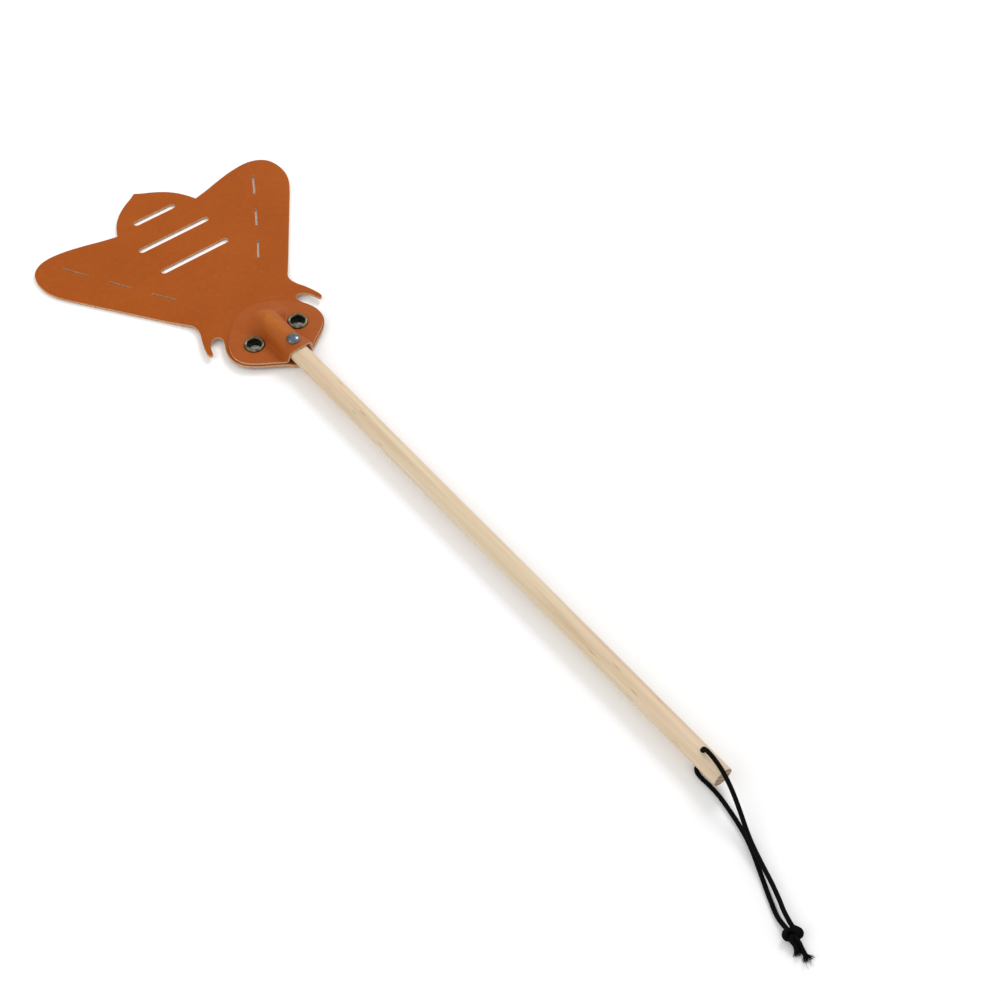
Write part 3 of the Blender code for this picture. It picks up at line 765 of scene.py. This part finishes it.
def eyelet(name, side, brass, dark):
    """A rolled rim and barrel, with its back rolled over the washer."""
    patch_top = head_level(EYE[0], EYE[1]) + BLADE_THICKNESS + LAYER_GAP + PATCH_THICKNESS
    foot = patch_top + 0.02
    back = head_level(EYE[0], EYE[1]) - EYE_BACK_DEPTH
    profile = []
    middle = (EYE_BORE + EYE_RIM) / 2
    half = (EYE_RIM - EYE_BORE) / 2
    # Slot 1, the near-black brass, is painted shade: the dark outline where the roll meets the leather, and
    # the shaded bore.
    for index in range(13):
        angle = math.pi * (1 - index / 12)
        height = foot + EYE_RIM_LIFT + EYE_RIM_HEIGHT * math.sin(angle)
        profile.append((middle + half * math.cos(angle), height, 1 if index < 2 or index > 10 else 0))
    profile += [(EYE_RIM, foot, 1), (EYE_BARREL, foot, 1), (EYE_BARREL, back + EYE_ROLL_HEIGHT, 1)]
    for index in range(9):
        angle = math.pi / 2 - math.pi * index / 8
        radius = EYE_BARREL + 0.55 + 0.495 * math.cos(angle)
        profile.append((radius, back + EYE_ROLL_HEIGHT / 2 + EYE_ROLL_HEIGHT / 2 * math.sin(angle), 0))
    profile += [(EYE_BORE + 0.25, back, 1), (EYE_BORE, back + 0.3, 1)]
    return turned(name, profile, (side * EYE[0] * MM, RIVET_Y + EYE[1] * MM, 0), [brass, dark])


def rivet_cap(nickel, dark):
    """A low domed cap with a tucked-in skirt, on its post."""
    crown = DOWEL_AXIS_Z / MM + BULGE_RADIUS + PATCH_THICKNESS - DIMPLE_DEPTH
    profile = [(0, crown + RIVET_SKIRT_HEIGHT + RIVET_DOME_HEIGHT, 0)]
    for index in range(1, 12):
        angle = math.radians(90 - 8.2 * index)
        height = crown + RIVET_SKIRT_HEIGHT + RIVET_DOME_HEIGHT * math.sin(angle)
        profile.append((RIVET_CAP_RADIUS * math.cos(angle), height, 0))
    # The skirt and post take the second, darker nickel: painted shade of the ring where the cap meets the
    # leather.
    profile += [
        (RIVET_CAP_RADIUS, crown + 0.2, 1), (RIVET_CAP_RADIUS - 0.1, crown - 0.1, 1),
        (RIVET_CAP_RADIUS - 0.45, crown - 0.28, 1), (RIVET_POST_RADIUS + 0.05, crown + 0.04, 1),
        (RIVET_POST_RADIUS, RIVET_POST_FOOT, 1), (0, RIVET_POST_FOOT, 1),
    ]
    return turned("rivet_dome", profile, (0, RIVET_Y, 0), [nickel, dark])


# ---- dowel ----

def dowel(wood, end):
    """The dowel, drilled across for the cord, its ends cut square with the edges just broken."""
    radius = DOWEL_RADIUS / MM
    length = (DOWEL_INSIDE_Y - TAIL_Y) / MM
    rounding = DOWEL_END_ROUNDING / MM
    inset, rise = 0.3 * rounding, 0.24 * rounding
    rows = [
        (0, 0, 1), (radius * 0.5, 0, 1), (radius - rounding, 0, 1),
        (radius - inset, rise, 1), (radius, rounding, 0),
    ]
    count = 40
    rows += [(radius, rounding + (length - 2 * rounding) * step / count, 0) for step in range(1, count + 1)]
    rows += [(radius - inset, length - rise, 1), (radius - rounding, length, 1), (0, length, 1)]
    obj = turned("dowel_handle", rows, (0, 0, 0), [wood, end], 96)
    laid_down = Matrix.Rotation(math.radians(-90), 4, "X")
    obj.data.transform(Matrix.Translation((0, TAIL_Y, DOWEL_AXIS_Z)) @ laid_down)
    for y, hole_radius in ((CORD_HOLE_Y, CORD_HOLE_RADIUS), (RIVET_Y, RIVET_HOLE * MM)):
        drill(obj, y, hole_radius, end)
    obj.data.shade_smooth()
    obj.data.set_sharp_from_angle(angle=math.radians(TURNED_FOLD))
    return obj


def drill(obj, y, radius, inside):
    """Cut a vertical hole through the dowel, with the raw wood showing inside it."""
    solid = bmesh.new()
    depth = 5 * DOWEL_RADIUS
    bmesh.ops.create_cone(solid, cap_ends=True, segments=40, radius1=radius, radius2=radius, depth=depth)
    mesh = bpy.data.meshes.new("drill")
    solid.to_mesh(mesh)
    solid.free()
    mesh.materials.append(inside)
    bit = bpy.data.objects.new("drill", mesh)
    bpy.context.scene.collection.objects.link(bit)
    bit.location = (0, y, DOWEL_AXIS_Z)
    boolean = obj.modifiers.new("hole", "BOOLEAN")
    boolean.operation = "DIFFERENCE"
    boolean.solver = "EXACT"
    boolean.material_mode = "TRANSFER"
    boolean.object = bit
    bpy.context.view_layer.update()
    cut = bpy.data.meshes.new_from_object(obj.evaluated_get(bpy.context.evaluated_depsgraph_get()))
    obj.modifiers.clear()
    obj.data = cut
    bpy.data.objects.remove(bit)


# ---- cord ----

def knot_turns(turns):
    """The knot's turns placed in the cord's own coordinates."""
    cosine, sine = math.cos(KNOT_HEADING), math.sin(KNOT_HEADING)
    placed = []
    for across, along, up in turns:
        x, y = across * cosine + along * sine, across * sine - along * cosine
        placed.append((KNOT_CENTRE[0] + x, KNOT_CENTRE[1] + y, KNOT_CENTRE[2] + up))
    return placed


def cord_line(points):
    """A route in metres, evenly stepped."""
    route = [Vector((x * MM, y * MM + TAIL_Y, z * MM)) for x, y, z in points]
    return even_line(smooth_line(route, 0.0004), CORD_STEP * MM)


def line_frames(line):
    """The direction at each point, and two axes across it that never twist suddenly."""
    frames = []
    side = Vector((1, 0, 0))
    for index, point in enumerate(line):
        ahead = line[min(index + 1, len(line) - 1)] - line[max(index - 1, 0)]
        forward = ahead.normalized()
        side = (side - forward * side.dot(forward)).normalized()
        frames.append((point, forward, side, forward.cross(side)))
    return frames


def braid_tube(name, line, mat, segments=20):
    """A round cord along a line; its UV map is the length in braid repeats and the share of the girth."""
    solid = bmesh.new()
    uv = solid.loops.layers.uv.new("braid")
    rings = []
    frames = line_frames(line)
    for index, (point, _, side, up) in enumerate(frames):
        near_end = min(index, len(frames) - 1 - index)
        radius = CORD_RADIUS * MM * (1 if near_end > 1 else 0.82 + 0.09 * near_end)
        spokes = [side * spot.x + up * spot.y for spot in ring(0, 0, radius, segments)]
        rings.append([solid.verts.new(point + spoke) for spoke in spokes])
    for index, (first, second) in enumerate(zip(rings, rings[1:])):
        for step in range(segments):
            after = (step + 1) % segments
            face = solid.faces.new((first[step], first[after], second[after], second[step]))
            for loop, (row, column) in zip(face.loops, ((0, 0), (0, 1), (1, 1), (1, 0))):
                loop[uv].uv = ((index + row) * CORD_STEP / BRAID_REPEAT, (step + column) / segments)
    for ring_points in (rings[0], rings[-1]):
        solid.faces.new(ring_points)
    bmesh.ops.recalc_face_normals(solid, faces=solid.faces)
    return finish_mesh(name, solid, [mat], CORD_FOLD)


def thread(solid, start, direction, length, radius, bend):
    """One loose thread as a thin tapering strand of four sides."""
    line = []
    point = start.copy()
    for _ in range(THREAD_STEPS + 1):
        line.append(point.copy())
        direction = (direction + bend).normalized()
        point += direction * length / THREAD_STEPS
        point.z = max(point.z, THREAD_CLEARANCE * MM)
    rings = []
    for index, (spot, _, side, up) in enumerate(line_frames(line)):
        size = radius * (1 - 0.6 * index / THREAD_STEPS)
        rings.append([solid.verts.new(spot + corner * size) for corner in (side, up, -side, -up)])
    for first, second in zip(rings, rings[1:]):
        for step in range(4):
            solid.faces.new((first[step], first[(step + 1) % 4], second[(step + 1) % 4], second[step]))
    solid.faces.new(rings[0])
    solid.faces.new(rings[-1])


def frayed_end(name, line, mat, seed, count):
    """The loosened yarns at a cord's cut end, with a few that stray."""
    chance = random.Random(seed)
    solid = bmesh.new()
    end, forward, side, up = line_frames(line)[-1]
    for index in range(count):
        angle = chance.uniform(0, 2 * math.pi)
        reach = CORD_RADIUS * MM * math.sqrt(chance.uniform(0, 0.8))
        out = side * math.cos(angle) + up * math.sin(angle)
        start = end + out * reach - forward * 0.0015
        flare = out * chance.uniform(0.1, 0.75)
        bend = Vector((chance.uniform(-1, 1), chance.uniform(-1, 1), chance.uniform(-0.8, 0.5))) * 0.16
        length = chance.uniform(0.0026, 0.0042)
        radius = chance.uniform(0.00016, 0.00028)
        if index % 12 == 0:
            length = chance.uniform(0.0050, 0.0075)
            radius = 0.00009
        thread(solid, start, (forward + flare).normalized(), length, radius, bend)
    bmesh.ops.recalc_face_normals(solid, faces=solid.faces)
    return finish_mesh(name, solid, [mat], CORD_FOLD)


# ---- the scene around the object ----

def white_room():
    """A white table, even white surroundings and two soft lights."""
    floor_mesh = bpy.data.meshes.new("table_top")
    half = TABLE_HALF_WIDTH
    corners = [(x, y, -TABLE_DROP) for x, y in ((-half, -half), (half, -half), (half, half), (-half, half))]
    floor_mesh.from_pydata(corners, [], [(0, 1, 2, 3)])
    floor = bpy.data.objects.new("table_top", floor_mesh)
    bpy.context.scene.collection.objects.link(floor)
    paint = Nodes("white_table", 0.9)
    paint.colour((0.95, 0.95, 0.95))
    paint.shader.inputs["Specular IOR Level"].default_value = 0.0
    floor_mesh.materials.append(paint.mat)
    world = bpy.data.worlds.new("white_room")
    bpy.context.scene.world = world
    world.use_nodes = True
    sky = world.node_tree.nodes["Background"]
    sky.inputs["Color"].default_value = (1, 1, 1, 1)
    sky.inputs["Strength"].default_value = SKY_STRENGTH
    soft_light("key_light", **KEY_LIGHT)
    soft_light("fill_light", **FILL_LIGHT)


def soft_light(name, place, target, size, power):
    """A square soft box that faces the target."""
    data = bpy.data.lights.new(name, "AREA")
    data.shape = "SQUARE"
    data.size = size
    data.energy = power
    light = bpy.data.objects.new(name, data)
    bpy.context.scene.collection.objects.link(light)
    light.location = place
    light.rotation_euler = (Vector(target) - Vector(place)).to_track_quat("-Z", "Y").to_euler()


def view_camera():
    """A camera above the tail's left, looking down along the swatter."""
    heading, pitch, roll = (math.radians(angle) for angle in (CAMERA_HEADING, CAMERA_PITCH, CAMERA_ROLL))
    level_ahead = Vector((math.sin(heading), math.cos(heading), 0))
    forward = level_ahead * math.cos(pitch) - Vector((0, 0, math.sin(pitch)))
    level_right = Vector((math.cos(heading), -math.sin(heading), 0))
    level_down = -level_right.cross(forward)
    right = level_right * math.cos(roll) + level_down * math.sin(roll)
    down = level_down * math.cos(roll) - level_right * math.sin(roll)
    data = bpy.data.cameras.new("camera")
    data.sensor_width = 36
    data.lens = CAMERA_LENS_MM
    data.clip_start = 0.01
    camera = bpy.data.objects.new("camera", data)
    bpy.context.scene.collection.objects.link(camera)
    turn = Matrix((right, -down, -forward)).transposed().to_4x4()
    camera.matrix_world = Matrix.Translation(CAMERA_PLACE) @ turn
    bpy.context.scene.camera = camera
    bpy.context.scene.view_settings.view_transform = "Standard"


# ---- build ----

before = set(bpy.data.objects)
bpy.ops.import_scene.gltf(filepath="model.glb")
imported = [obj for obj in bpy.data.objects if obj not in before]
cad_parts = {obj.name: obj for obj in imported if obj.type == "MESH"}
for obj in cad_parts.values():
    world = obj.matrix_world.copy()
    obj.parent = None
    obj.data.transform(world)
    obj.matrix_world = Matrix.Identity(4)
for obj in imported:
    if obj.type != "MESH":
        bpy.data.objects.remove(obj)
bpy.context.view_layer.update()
view_camera()
white_room()

leather = grain_leather("tan_grain_leather", 0.1)
# The patch leather carries a painted highlight along the crown of its bulge.
patch_grain = grain_leather("tan_patch_leather", 0.18, painted_crown_highlight=True)
edge = raw_edge()
flesh = suede()
wood = pale_wood()
wood_end = end_grain()
brass = worn_metal("antique_brass", (0.25, 0.215, 0.135), (0.075, 0.062, 0.034), 0.38, 0.25)
# Near-black brass for the eyelets' rim edges and bores: painted shade.
dark_brass = worn_metal("brass_painted_shade", (0.055, 0.05, 0.03), (0.012, 0.012, 0.008), 0.5, 0.3)
nickel = worn_metal("polished_nickel", (0.16, 0.19, 0.215), (0.055, 0.065, 0.074), 0.2, 0.2)
# Darker nickel for the rivet's skirt and post: painted shade where the cap meets the leather.
dark_nickel = worn_metal("nickel_painted_shade", (0.07, 0.07, 0.07), (0.03, 0.03, 0.03), 0.45, 0.2)
braid = braided_black()
fibre = black_fibre()

blade = leather_sheet(
    "leather_blade", blade_ring(BLADE_EDGE_SPACING), blade_holes(), BLADE_SPACING, blade_point,
    BLADE_THICKNESS, [leather, edge, flesh],
)
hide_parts("blade_head", "blade_wings")
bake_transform(blade)

unrolled = PatchMap()
half_outline = even_line([unrolled.unroll(point.x, point.y) for point in patch_half()], PATCH_EDGE_SPACING)
patch_holes = [[unrolled.unroll(point.x, point.y) for point in hole] for hole in clamp_holes()]
patch = leather_sheet(
    "leather_face_patch", mirrored_ring(half_outline), patch_holes, PATCH_SPACING, unrolled.flared_point,
    PATCH_THICKNESS, [patch_grain, edge, flesh],
)
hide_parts("face_patch")
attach(patch, "handle")

handle = dowel(wood, wood_end)
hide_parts("handle")
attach(handle, "handle")

for side, label in ((-1, "left"), (1, "right")):
    eye = eyelet("eyelet_ring_" + label, side, brass, dark_brass)
    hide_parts("eyelet_" + label)
    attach(eye, "handle")

rivet = rivet_cap(nickel, dark_nickel)
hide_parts("rivet_cap")
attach(rivet, "handle")

for node, mat in (("eyelet_washer_left", brass), ("eyelet_washer_right", brass), ("rivet_back", nickel)):
    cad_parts[node].data.materials.clear()
    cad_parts[node].data.materials.append(mat)

upper_line = cord_line(UPPER_ROUTE + knot_turns(OUTER_TURNS) + LONG_TAIL)
lower_line = cord_line(LOWER_ROUTE + knot_turns(INNER_TURNS) + SHORT_TAIL)
upper = braid_tube("cord_upper", upper_line, braid)
lower = braid_tube("cord_lower", lower_line, braid)
upper_fray = frayed_end("cord_upper_fray", upper_line, fibre, 11, 60)
lower_fray = frayed_end("cord_lower_fray", lower_line, fibre, 23, 50)
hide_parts("cord_inside_handle", "cord_upper_strand", "cord_knot", "cord_long_tail")
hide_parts("cord_lower_strand", "cord_short_tail")
for piece in (upper, lower, upper_fray, lower_fray):
    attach(piece, "handle")
